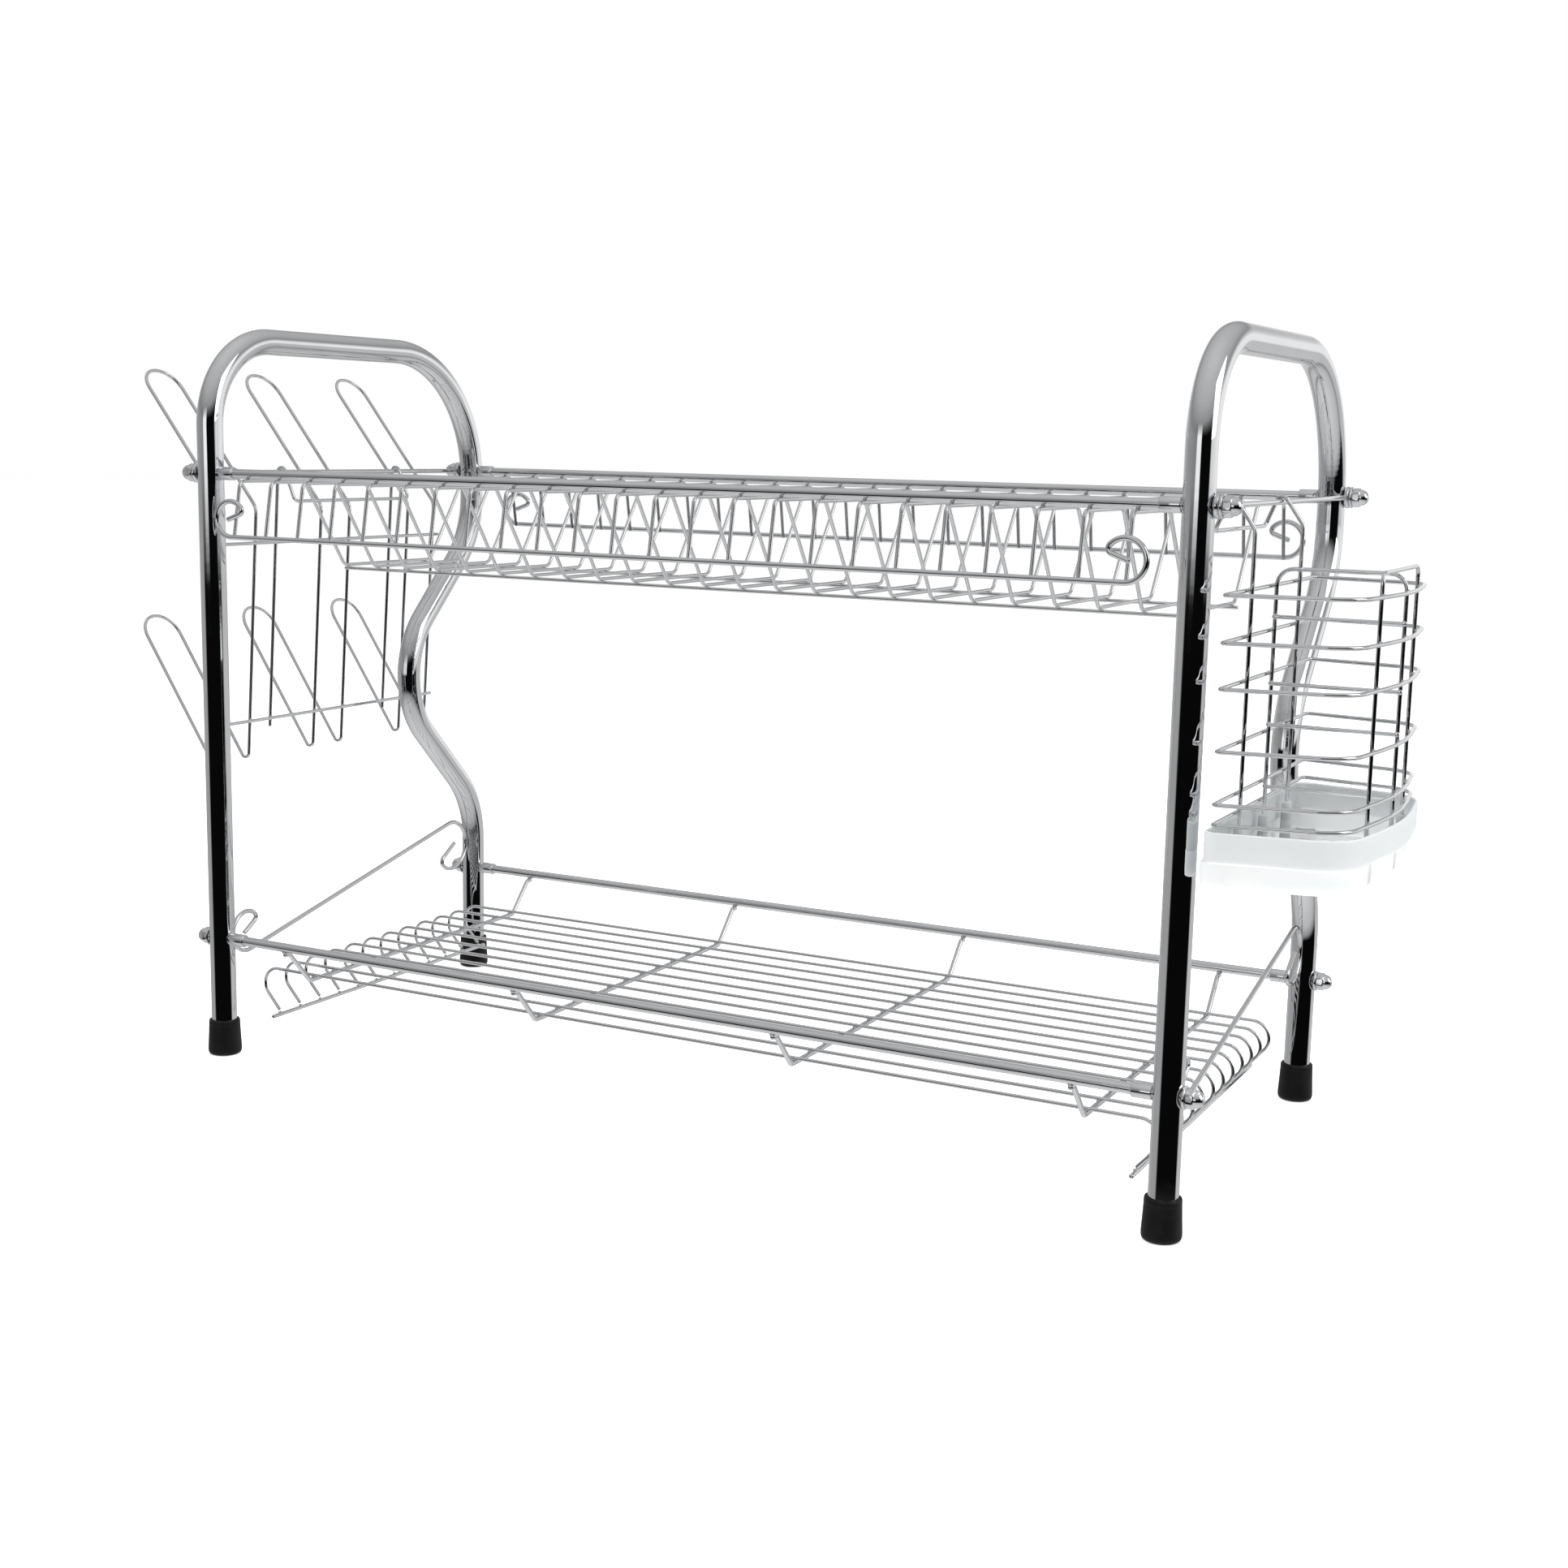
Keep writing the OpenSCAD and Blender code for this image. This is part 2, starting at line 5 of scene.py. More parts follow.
import bmesh
import bpy
import numpy as np
from mathutils import Matrix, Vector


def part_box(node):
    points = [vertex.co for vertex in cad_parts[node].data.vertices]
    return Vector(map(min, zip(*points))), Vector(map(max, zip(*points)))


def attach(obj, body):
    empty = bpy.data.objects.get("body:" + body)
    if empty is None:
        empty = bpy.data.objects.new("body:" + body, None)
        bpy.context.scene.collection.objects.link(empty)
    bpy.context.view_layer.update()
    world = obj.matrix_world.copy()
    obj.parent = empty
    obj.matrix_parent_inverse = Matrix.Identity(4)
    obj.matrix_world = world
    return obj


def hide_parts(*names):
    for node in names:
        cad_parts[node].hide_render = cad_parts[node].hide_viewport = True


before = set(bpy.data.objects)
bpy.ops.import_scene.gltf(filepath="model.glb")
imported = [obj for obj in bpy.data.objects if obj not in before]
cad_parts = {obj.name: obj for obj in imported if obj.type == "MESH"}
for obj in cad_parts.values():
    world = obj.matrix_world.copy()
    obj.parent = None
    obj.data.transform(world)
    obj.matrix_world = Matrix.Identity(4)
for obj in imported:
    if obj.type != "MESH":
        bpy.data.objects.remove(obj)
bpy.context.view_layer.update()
M = 1000.0  # millimetres in a metre: shapes are worked out in millimetres


def mid(node):
    """Middle of a CAD node's box, in millimetres."""
    low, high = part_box(node)
    return (np.array(low) + np.array(high)) * M / 2


def low(node):
    return np.array(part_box(node)[0]) * M


def high(node):
    return np.array(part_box(node)[1]) * M


# ---------------------------------------------------------------- sizes, read from the frame
LEG_X, LEG_Y = mid("foot_cap_right_rear")[:2]
TUBE_D = high("right_frame_tube")[0] - low("right_frame_tube")[0]
TOP_Z = high("right_frame_tube")[2] - TUBE_D / 2
FOOT_H = high("foot_cap_right_rear")[2]
UPPER_Z = mid("upper_front_rail")[2]
LOWER_Z = mid("lower_front_rail")[2]
RAIL_D = high("upper_front_rail")[2] - low("upper_front_rail")[2]
THIN = high("plate_floor_wire_front")[2] - low("plate_floor_wire_front")[2]
STOUT = high("left_hanger_wire")[0] - low("left_hanger_wire")[0]
CROSS = high("shelf_cross_wire_1")[0] - low("shelf_cross_wire_1")[0]
HANGER_X = mid("right_hanger_wire")[0]
GUARD_Y = mid("rear_guard_wire")[1]
GUARD_Z = low("rear_guard_wire")[2] + STOUT / 2
PLATE_LOW = low("plate_wires_left")
PLATE_HIGH = high("plate_wires_right")
SHELF_HIGH = high("shelf_long_wires")
BASKET_Y = mid("basket_ring_1")[1]
RING_X = low("basket_ring_1")[0] + THIN / 2
WELD = 0.05

# ---------------------------------------------------------------- paths


def unit(v):
    return v / np.linalg.norm(v)


def fillet(corners, closed=False, step=8.0):
    """Centre line through [point, radius] corners: each corner becomes an arc tangent to both
    sides, centre + r (sin t along - cos t inward), t from 0 to the turn."""
    points = [np.array(c[0], float) for c in corners]
    n = len(points)
    out = []
    for i, (p, r) in enumerate(zip(points, [c[1] for c in corners])):
        if not closed and i in (0, n - 1):
            out.append(p[None])
            continue
        along = unit(p - points[i - 1])
        onward = unit(points[(i + 1) % n] - p)
        turn = math.acos(np.clip(along @ onward, -1, 1))
        inward = unit(onward - (along @ onward) * along)
        centre = p - r * math.tan(turn / 2) * along + r * inward
        t = np.linspace(0, turn, 2 + int(math.degrees(turn) / step))[:, None]
        out.append(centre + r * (np.sin(t) * along - np.cos(t) * inward))
    line = np.concatenate(out)
    keep = np.r_[True, np.linalg.norm(np.diff(line, axis=0), axis=1) > 0.05]
    line = line[keep]
    if closed and np.linalg.norm(line[0] - line[-1]) < 0.05:
        line = line[:-1]
    return line


def scroll(p, u, w, r):
    """Curl that leaves p along u and turns towards w: a wide arc, a tight one, a short tail."""
    p, u, w = (np.array(v, float) for v in (p, u, w))
    big, small, small_r = math.radians(228), math.radians(112), 0.24 * r
    t = np.linspace(0, big, 34)[:, None]
    wide = p + r * w + r * (np.sin(t) * u - np.cos(t) * w)
    out = math.cos(big) * u + math.sin(big) * w
    side = -math.sin(big) * u + math.cos(big) * w
    t = np.linspace(0, small, 16)[1:, None]
    tight = wide[-1] + small_r * side + small_r * (np.sin(t) * out - np.cos(t) * side)
    heading = math.cos(big + small) * u + math.sin(big + small) * w
    return np.concatenate([wide, tight, [tight[-1] + 0.95 * r * heading]])


def braced(line, closed, guard=0.8):
    """Adds a point close to both ends of every long straight, so that the shading of a bend or
    of a domed end stays in the bend or the end."""
    after = np.r_[line[1:], line[:1]] if closed else line[1:]
    out = []
    for a, b in zip(line, after):
        out.append(a)
        length = np.linalg.norm(b - a)
        if length > 3 * guard:
            count = 1 + int(length / 30)
            out += [a + guard * (b - a) / length]
            out += [a + (b - a) * k / count for k in range(1, count)]
            out += [b - guard * (b - a) / length]
    if not closed:
        out.append(line[-1])
    return np.array(out)


def straight(centre, reach, axis, count):
    """Straight centre line of count points through centre, from -reach to reach on an axis."""
    line = np.tile(np.array(centre, float), (count, 1))
    line[:, axis] = np.linspace(-reach, reach, count)
    return line


# ---------------------------------------------------------------- surfaces


class Shape:
    """Collects grids of points into one mesh."""

    def __init__(self):
        self.points, self.faces, self.count = [], [], 0

    def grid(self, rows, close_u=True, close_v=False, pole_a=None, pole_b=None):
        """rows is (v, u, 3): v rings of u points. A pole closes an end with a fan."""
        nv, nu = rows.shape[:2]
        ids = self.count + np.arange(nv * nu).reshape(nv, nu)
        nxt = np.roll(ids, -1, axis=1) if close_u else ids[:, 1:]
        here = ids if close_u else ids[:, :-1]
        below = np.roll(ids, -1, axis=0) if close_v else ids[1:]
        nxt_below = np.roll(below, -1, axis=1) if close_u else below[:, 1:]
        last = nv if close_v else nv - 1
        quads = np.stack([here[:last], nxt[:last], nxt_below[:last],
                          (below if close_u else below[:, :-1])[:last]], -1).reshape(-1, 4)
        self.faces += quads.tolist()
        self.points.append(rows.reshape(-1, 3))
        self.count += nv * nu
        for pole, ring, flip in ((pole_a, ids[0], True), (pole_b, ids[-1], False)):
            if pole is None:
                continue
            after = np.roll(ring, -1)
            fan = np.stack([ring, after, np.full_like(ring, self.count)], -1)
            self.faces += (fan[:, ::-1] if flip else fan).tolist()
            self.points.append(np.array(pole, float).reshape(1, 3))
            self.count += 1

    def wire(self, line, d, sides=12, closed=False, dome=0.45):
        """Round wire: a circle of d carried along the line without twist, ends slightly domed."""
        line = braced(line, closed)
        step = np.diff(np.r_[line[-1:], line, line[:1]] if closed else line, axis=0)
        step /= np.linalg.norm(step, axis=1)[:, None]
        if closed:
            tangent = step[:-1] + step[1:]
        else:
            tangent = np.r_[step[:1], step[:-1] + step[1:], step[-1:]]
        tangent /= np.linalg.norm(tangent, axis=1)[:, None]
        first = np.cross(tangent[0], [0.31, 0.23, 0.92])
        side = [unit(first)]
        for a, b in zip(tangent[:-1], tangent[1:]):
            turned = side[-1] - (side[-1] @ b) * b
            side.append(unit(turned))
        side = np.array(side)
        if closed:
            # share out the turn that is left when the frame comes round to its start
            end = unit(side[-1] - (side[-1] @ tangent[0]) * tangent[0])
            left = math.atan2(np.cross(end, side[0]) @ tangent[0], end @ side[0])
            share = left * np.arange(len(line))[:, None] / len(line)
            side = side * np.cos(share) + np.cross(tangent, side) * np.sin(share)
        other = np.cross(tangent, side)
        radius = np.full(len(line), d / 2)
        rings = line
        pole_a = pole_b = None
        if not closed:
            cap = dome * d / 2
            phi = np.radians([62.0, 34.0, 0.0])
            pole_a, pole_b = line[0], line[-1]
            head = line[0] + tangent[0] * (cap * (1 - np.sin(phi)))[:, None]
            tail = line[-1] - tangent[-1] * (cap * (1 - np.sin(phi)))[::-1, None]
            rings = np.concatenate([head, line[1:-1], tail])
            radius = np.r_[d / 2 * np.cos(phi), radius[1:-1], d / 2 * np.cos(phi)[::-1]]
            spread = [0, 0] + list(range(len(line))) + [len(line) - 1] * 2
            side, other = side[spread], other[spread]
        angle = np.linspace(0, 2 * math.pi, sides, endpoint=False)
        rows = (rings[:, None] + radius[:, None, None]
                * (np.cos(angle)[None, :, None] * side[:, None]
                   + np.sin(angle)[None, :, None] * other[:, None]))
        self.grid(rows, close_v=closed, pole_a=pole_a, pole_b=pole_b)

    def turned(self, profile, base, axis, sides=40, flat=None):
        """Lathe: a (radius, height) profile turned about an axis. flat(angle, radius, height)
        may pull the radius in, as a hexagon's flats do."""
        profile = np.array(profile, float)
        axis = unit(np.array(axis, float))
        side = unit(np.cross(axis, [0.2, 0.9, 0.37]))
        other = np.cross(axis, side)
        angle = np.linspace(0, 2 * math.pi, sides, endpoint=False)
        radius = np.repeat(profile[:, :1], sides, axis=1)
        if flat is not None:
            radius = flat(angle[None], radius, profile[:, 1:2])
        ring = np.cos(angle)[:, None] * side + np.sin(angle)[:, None] * other
        rows = (np.array(base, float) + profile[:, 1, None, None] * axis
                + radius[:, :, None] * ring[None])
        poles = [np.array(base, float) + h * axis for h in (profile[0, 1], profile[-1, 1])]
        self.grid(rows, pole_a=poles[0], pole_b=poles[1])

    def ring(self, profile, base, axis, sides=40):
        """Lathe of a closed profile, such as a washer or a sleeve."""
        profile = np.array(profile, float)
        axis = unit(np.array(axis, float))
        side = unit(np.cross(axis, [0.2, 0.9, 0.37]))
        other = np.cross(axis, side)
        angle = np.linspace(0, 2 * math.pi, sides, endpoint=False)
        circle = np.cos(angle)[:, None] * side + np.sin(angle)[:, None] * other
        rows = (np.array(base, float) + profile[:, 1, None, None] * axis
                + profile[:, 0, None, None] * circle[None])
        self.grid(rows, close_v=True)

    def bead(self, centre, size):
        """Weld bead: a small ellipsoid with half sizes size, where two wires touch."""
        v = np.radians([-54.0, -18.0, 18.0, 54.0])[:, None]
        u = np.linspace(0, 2 * math.pi, 8, endpoint=False)[None]
        ball = np.stack([np.cos(v) * np.cos(u), np.cos(v) * np.sin(u), np.sin(v) + 0 * u], -1)
        centre, size = np.array(centre, float), np.array(size, float)
        self.grid(centre + ball * size, pole_a=centre - [0, 0, size[2]],
                  pole_b=centre + [0, 0, size[2]])

    def make(self, name, body, material, nodes):
        """The finished piece, in metres, riding on its body in place of the CAD nodes."""
        mesh = bpy.data.meshes.new(name)
        mesh.from_pydata((np.concatenate(self.points) / M).tolist(), [], self.faces)
        mesh.validate()
        mesh.polygons.foreach_set("use_smooth", [True] * len(mesh.polygons))
        mesh.materials.append(material)
        piece = bpy.data.objects.new(name, mesh)
        bpy.context.scene.collection.objects.link(piece)
        recalculate(mesh)
        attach(piece, body)
        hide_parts(*nodes)
        return piece


def recalculate(mesh):
    """Turns every face outwards."""
    work = bmesh.new()
    work.from_mesh(mesh)
    bmesh.ops.recalc_face_normals(work, faces=work.faces)
    work.to_mesh(mesh)
    work.free()


# ---------------------------------------------------------------- materials


def rgb(code):
    """sRGB hex to linear RGBA."""
    c = np.array([int(code[i:i + 2], 16) for i in (1, 3, 5)]) / 255
    c = np.where(c <= 0.04045, c / 12.92, ((c + 0.055) / 1.055) ** 2.4)
    return (*c.tolist(), 1.0)


def add(tree, kind, links=None, **settings):
    """Adds a node: settings are attributes, or input sockets where the name has a capital."""
    node = tree.nodes.new(kind)
    for key, value in settings.items():
        if key[0].isupper():
            node.inputs[key.replace("_", " ")].default_value = value
        else:
            setattr(node, key, value)
    for socket, source in (links or {}).items():
        tree.links.new(source, node.inputs[socket])
    return node


def material(name):
    made = bpy.data.materials.new(name)
    made.use_nodes = True
    tree = made.node_tree
    tree.nodes.clear()
    coords = add(tree, "ShaderNodeTexCoord").outputs["Object"]
    return made, tree, coords


def finish_material(tree, shader):
    add(tree, "ShaderNodeOutputMaterial", {"Surface": shader.outputs[0]})


def chrome(name, ripple_mm, ripple, rough):
    """Bright chrome plate on drawn steel: a hard mirror, cool and slightly darker than silver,
    with a faint ripple from the drawn surface under it and fine handling haze."""
    made, tree, coords = material(name)
    haze = add(tree, "ShaderNodeTexNoise", {"Vector": coords}, Scale=M / 35, Detail=4.0)
    fine = add(tree, "ShaderNodeTexNoise", {"Vector": coords}, Scale=M / ripple_mm, Detail=2.0)
    roughness = add(tree, "ShaderNodeMapRange", {"Value": haze.outputs["Fac"]},
                    From_Min=0.35, From_Max=0.7, To_Min=rough * 0.6, To_Max=rough * 1.5)
    tint = add(tree, "ShaderNodeValToRGB", {"Fac": haze.outputs["Fac"]})
    tint.color_ramp.elements[0].color = rgb("#D3D5D8")
    tint.color_ramp.elements[1].color = rgb("#E9EAEB")
    bump = add(tree, "ShaderNodeBump", {"Height": fine.outputs["Fac"]},
               Strength=ripple, Distance=0.0002)
    shader = add(tree, "ShaderNodeBsdfPrincipled",
                 {"Base Color": tint.outputs["Color"], "Roughness": roughness.outputs[0],
                  "Normal": bump.outputs[0]}, Metallic=1.0)
    finish_material(tree, shader)
    return made


def rubber(name):
    """Moulded black rubber: nearly black, soft sheen, fine spark-eroded grain and dust."""
    made, tree, coords = material(name)
    grain = add(tree, "ShaderNodeTexNoise", {"Vector": coords}, Scale=M / 0.9, Detail=3.0)
    dust = add(tree, "ShaderNodeTexNoise", {"Vector": coords}, Scale=M / 7, Detail=5.0)
    colour = add(tree, "ShaderNodeValToRGB", {"Fac": dust.outputs["Fac"]})
    colour.color_ramp.elements[0].position = 0.4
    colour.color_ramp.elements[0].color = rgb("#050505")
    colour.color_ramp.elements[1].position = 0.85
    colour.color_ramp.elements[1].color = rgb("#101010")
    bump = add(tree, "ShaderNodeBump", {"Height": grain.outputs["Fac"]},
               Strength=0.25, Distance=0.0003)
    shader = add(tree, "ShaderNodeBsdfPrincipled",
                 {"Base Color": colour.outputs["Color"], "Normal": bump.outputs[0]},
                 Roughness=0.52, IOR=1.5, Specular_IOR_Level=0.3)
    finish_material(tree, shader)
    return made


def frosted(name):
    """Moulded polypropylene, translucent white: milky, soft gloss, fine texture, faint flow,
    and a darker grey tint over the lip band, which is painted shade."""
    made, tree, coords = material(name)
    flow = add(tree, "ShaderNodeTexNoise", {"Vector": coords}, Scale=M / 28, Detail=3.0)
    grain = add(tree, "ShaderNodeTexNoise", {"Vector": coords}, Scale=M / 1.1, Detail=2.0)
    colour = add(tree, "ShaderNodeValToRGB", {"Fac": flow.outputs["Fac"]})
    colour.color_ramp.elements[0].color = rgb("#D6D9DA")
    colour.color_ramp.elements[1].color = rgb("#E6E8E8")
    # painted shade: from just under LIP_Z upwards the colour is mixed halfway towards a darker grey
    height = add(tree, "ShaderNodeSeparateXYZ", {"Vector": coords})
    lip_shade = add(tree, "ShaderNodeMapRange", {"Value": height.outputs["Z"]},
              From_Min=(LIP_Z - 0.3) / M, From_Max=(LIP_Z + 0.6) / M, To_Min=0.0, To_Max=0.5)
    tint = add(tree, "ShaderNodeMix", {"Factor": lip_shade.outputs[0], 6: colour.outputs["Color"]},
               data_type="RGBA")
    tint.inputs[7].default_value = rgb("#B4B8BA")
    bump = add(tree, "ShaderNodeBump", {"Height": grain.outputs["Fac"]},
               Strength=0.15, Distance=0.0002)
    shader = add(tree, "ShaderNodeBsdfPrincipled",
                 {"Base Color": tint.outputs[2], "Normal": bump.outputs[0]},
                 Roughness=0.55, IOR=1.49, Transmission_Weight=0.08, Specular_IOR_Level=0.2,
                 Subsurface_Weight=0.5, Subsurface_Radius=(1.0, 1.0, 1.0),
                 Subsurface_Scale=0.006)
    finish_material(tree, shader)
    return made


LIP_H = 12.0
LIP_Z = high("drip_cup")[2] - LIP_H
tube_chrome = chrome("chrome_plated_tube", 14, 0.10, 0.035)
wire_chrome = chrome("chrome_plated_wire", 5, 0.12, 0.06)
satin_chrome = chrome("satin_chrome_plated_wire", 5, 0.12, 0.18)
nut_chrome = chrome("chrome_plated_nut", 6, 0.08, 0.05)
foot_rubber = rubber("moulded_rubber")
cup_plastic = frosted("frosted_polypropylene")

# ---------------------------------------------------------------- end frames
FRAME_START = FOOT_H * 0.4
SHOULDER_Z, WAIST_Z, HIP_Z = 265.0, 184.0, 103.0
WAIST_Y = LEG_Y - (SHOULDER_Z - WAIST_Z)
FRONT_BEND_R, REAR_BEND_R, SHOULDER_R, WAIST_R = 44, 70, 55, 47.5

for name, x in (("left", -LEG_X), ("right", LEG_X)):
    shape = Shape()
    shape.wire(fillet([
        ([x, -LEG_Y, FRAME_START], 0), ([x, -LEG_Y, TOP_Z], FRONT_BEND_R),
        ([x, LEG_Y, TOP_Z], REAR_BEND_R), ([x, LEG_Y, SHOULDER_Z], SHOULDER_R),
        ([x, WAIST_Y, WAIST_Z], WAIST_R), ([x, LEG_Y, HIP_Z], SHOULDER_R),
        ([x, LEG_Y, FRAME_START], 0)], step=2.5), TUBE_D, sides=56, dome=0.1)
    shape.make(name + "_end_frame", "rack", tube_chrome, [name + "_frame_tube"])

for side_name, x in (("left", -LEG_X), ("right", LEG_X)):
    for end_name, y in (("front", -LEG_Y), ("rear", LEG_Y)):
        node = f"foot_cap_{side_name}_{end_name}"
        r = (high(node)[0] - low(node)[0]) / 2
        shape = Shape()
        bore = TUBE_D / 2 + WELD
        shape.turned([
            (r * 0.55, 0.4), (r * 0.62, 0.0), (r - 1.9, 0.0), (r - 1.1, 0.22), (r - 0.5, 0.7),
            (r - 0.12, 1.5), (r, 2.6), (r - 0.05, 4.2), (r - 0.32, 9), (r - 0.62, FOOT_H - 3.1),
            (r - 0.66, FOOT_H - 2.9), (r - 0.66, FOOT_H - 2.5), (r - 0.6, FOOT_H - 2.3),
            (r - 0.7, FOOT_H - 0.8), (r - 0.86, FOOT_H - 0.25), (r - 1.15, FOOT_H),
            (bore + 0.25, FOOT_H - 0.05), (bore, FOOT_H - 0.3), (bore, 3.2), (bore - 1, 3.0)],
            [x, y, 0], [0, 0, 1], sides=64)
        shape.make(f"rubber_foot_{side_name}_{end_name}", "rack", foot_rubber, [node])

# ---------------------------------------------------------------- rails and their fastenings
for node in ("upper_front_rail", "upper_rear_rail", "lower_front_rail", "lower_rear_rail"):
    shape = Shape()
    shape.wire(straight(mid(node), high(node)[0], 0, 40), RAIL_D, sides=28, dome=0.3)
    shape.make(node + "_rod", "rack", wire_chrome, [node])

JOINTS = [(s, y, z) for s in (-1, 1) for y in (-LEG_Y, LEG_Y) for z in (LOWER_Z, UPPER_Z)]
INNER = LEG_X - TUBE_D / 2 - WELD
COLLAR_R, COLLAR_LEN = high("rail_collars")[2] - UPPER_Z, 9.0
shape = Shape()
for s, y, z in JOINTS:
    bore = RAIL_D / 2 + WELD
    shape.ring([(bore, 0), (COLLAR_R - 0.4, 0), (COLLAR_R - 0.12, 0.12), (COLLAR_R, 0.4),
                (COLLAR_R, COLLAR_LEN - 0.4), (COLLAR_R - 0.12, COLLAR_LEN - 0.12),
                (COLLAR_R - 0.4, COLLAR_LEN), (bore, COLLAR_LEN)], [s * INNER, y, z], [-s, 0, 0])
shape.make("rail_end_collars", "rack", nut_chrome, ["rail_collars"])

WASHER_T = 1.2
LOWER_STACK = LEG_X + TUBE_D / 2 + WELD
UPPER_STACK = HANGER_X + STOUT / 2 + WELD
WASHER_R = high("washers")[2] - UPPER_Z
shape = Shape()
for s, y, z in JOINTS:
    x = UPPER_STACK if z == UPPER_Z else LOWER_STACK
    bore = RAIL_D / 2 + 0.15
    shape.ring([(bore, 0), (WASHER_R - 0.3, 0), (WASHER_R - 0.05, 0.15), (WASHER_R, 0.45),
                (WASHER_R, 0.8), (WASHER_R - 0.12, 1.05), (WASHER_R - 0.45, 1.2), (bore, 1.2)],
               [s * x, y, z], [s, 0, 0])
shape.make("plain_washers", "rack", nut_chrome, ["washers"])

NUT_AF, NUT_HEX, NUT_DOME = 8.0, 3.6, 3.8


def hexagon(angle, radius, height):
    """Radius of a hexagon with softened corners, no more than the turned profile's radius."""
    across = NUT_AF / 2 / np.cos((angle + math.pi / 6) % (math.pi / 3) - math.pi / 6)
    across = np.minimum(across, NUT_AF / 2 * 1.125)
    return np.where(height <= NUT_HEX, np.minimum(radius, across), radius)


dome_r = NUT_AF / 2 - 0.2
t = np.radians(np.linspace(0, 84, 11))
dome = [(dome_r * math.cos(a), NUT_HEX + 0.05 + (NUT_DOME - 0.05) * math.sin(a)) for a in t]
shape = Shape()
for s, y, z in JOINTS:
    x = (UPPER_STACK if z == UPPER_Z else LOWER_STACK) + WASHER_T + WELD
    shape.turned([(RAIL_D / 2, 0), (3.95, 0), (4.2, 0.12), (4.6, 0.5), (4.6, 2.9), (4.3, 3.25),
                  (3.95, 3.5), (3.82, NUT_HEX)] + dome, [s * x, y, z], [s, 0, 0],
                 sides=60, flat=hexagon)
shape.make("acorn_nuts_polished", "rack", nut_chrome, ["acorn_nuts"])

# ---------------------------------------------------------------- hanger and guard wires
EYE_R = (high("left_hanger_wire")[2] - low("left_hanger_wire")[2] - STOUT) / 2
for name, x in (("left", -HANGER_X), ("right", HANGER_X)):
    shape = Shape()
    shape.wire(straight([x, 0, UPPER_Z], LEG_Y - EYE_R, 1, 24), STOUT, sides=18)
    a = np.linspace(0, 2 * math.pi, 40, endpoint=False)
    for y in (-LEG_Y, LEG_Y):
        shape.wire(np.stack([0 * a + x, y + EYE_R * np.cos(a), UPPER_Z + EYE_R * np.sin(a)], -1),
                   STOUT, sides=16, closed=True)
        shape.bead([x, y - math.copysign(EYE_R, y), UPPER_Z], [1.35, 1.7, 1.5])
    shape.make(name + "_hanger_rod", "rack", wire_chrome, [name + "_hanger_wire"])

PLATE_COUNT = 24
PLATE_X = np.linspace(PLATE_LOW[0] + THIN / 2, PLATE_HIGH[0] - THIN / 2, PLATE_COUNT)
GUARD_R = 8.8
for name, y in (("front", -GUARD_Y), ("rear", GUARD_Y)):
    end = PLATE_X[-1]
    left = scroll([-end, y, GUARD_Z], [-1, 0, 0], [0, 0, 1], GUARD_R)
    right = scroll([end, y, GUARD_Z], [1, 0, 0], [0, 0, 1], GUARD_R)
    between = np.linspace(left[0], right[0], 26)[1:-1]
    shape = Shape()
    shape.wire(np.concatenate([left[::-1], between, right]), STOUT, sides=16)
    shape.make(name + "_guard_rod", "rack", wire_chrome, [name + "_guard_wire"])

# ---------------------------------------------------------------- plate rack
DROP_Y = PLATE_HIGH[1] - THIN / 2
PLATE_TOP = PLATE_HIGH[2] - THIN / 2
PLATE_FLOOR = PLATE_LOW[2] + THIN / 2
DROP_FOOT = GUARD_Z - STOUT / 2
DROP_LEAN = 5.2
SLOPE_TOP_Y, SLOPE_FOOT_Y = 68.0, 37.0
FLOOR_WIRE_Y = mid("plate_floor_wire_rear")[1]


def plate_wire(x):
    half = [([x, DROP_Y, DROP_FOOT], 0), ([x, DROP_Y - DROP_LEAN, PLATE_TOP], 3.5),
            ([x, SLOPE_TOP_Y, PLATE_TOP], 6), ([x, SLOPE_FOOT_Y, PLATE_FLOOR], 5)]
    front = [([p[0], -p[1], p[2]], r) for p, r in half]
    return fillet(front + half[::-1], step=11)


for name, xs in (("left", PLATE_X[:PLATE_COUNT // 2]), ("right", PLATE_X[PLATE_COUNT // 2:])):
    shape = Shape()
    for x in xs:
        shape.wire(plate_wire(x), THIN, sides=12)
        for s in (-1, 1):
            shape.bead([x, s * (DROP_Y + 0.65), GUARD_Z], [1.15, 0.7, 1.1])
            shape.bead([x, s * LEG_Y, PLATE_TOP + 0.75], [1.2, 1.5, 0.7])
            shape.bead([x, s * FLOOR_WIRE_Y, PLATE_FLOOR - THIN / 2], [1.15, 1.15, 0.7])
    shape.make(name + "_plate_wires", "rack", satin_chrome, ["plate_wires_" + name])

for name in ("front", "rear"):
    node = "plate_floor_wire_" + name
    shape = Shape()
    shape.wire(straight(mid(node), high(node)[0], 0, 30), THIN, sides=12)
    shape.make(name + "_floor_rod", "rack", wire_chrome, [node])

# ---------------------------------------------------------------- lower shelf
SHELF_Z = SHELF_HIGH[2] - THIN / 2
SHELF_Y = SHELF_HIGH[1] - THIN / 2
SHELF_COUNT = 12
CURL_R, CURL_TURN, CURL_TAIL = 8.5, 132.0, 30.0
CURL_X = SHELF_HIGH[0] - THIN / 2 - CURL_R
CROSS_LOW = low("shelf_cross_wire_1")
CROSS_Z = CROSS_LOW[2] + CROSS / 2
CROSS_TOP = high("shelf_cross_wire_1")[2] - CROSS / 2
CROSS_FOOT_Y = SHELF_Y + 3
SHELF_YS = np.linspace(-SHELF_Y, SHELF_Y, SHELF_COUNT)

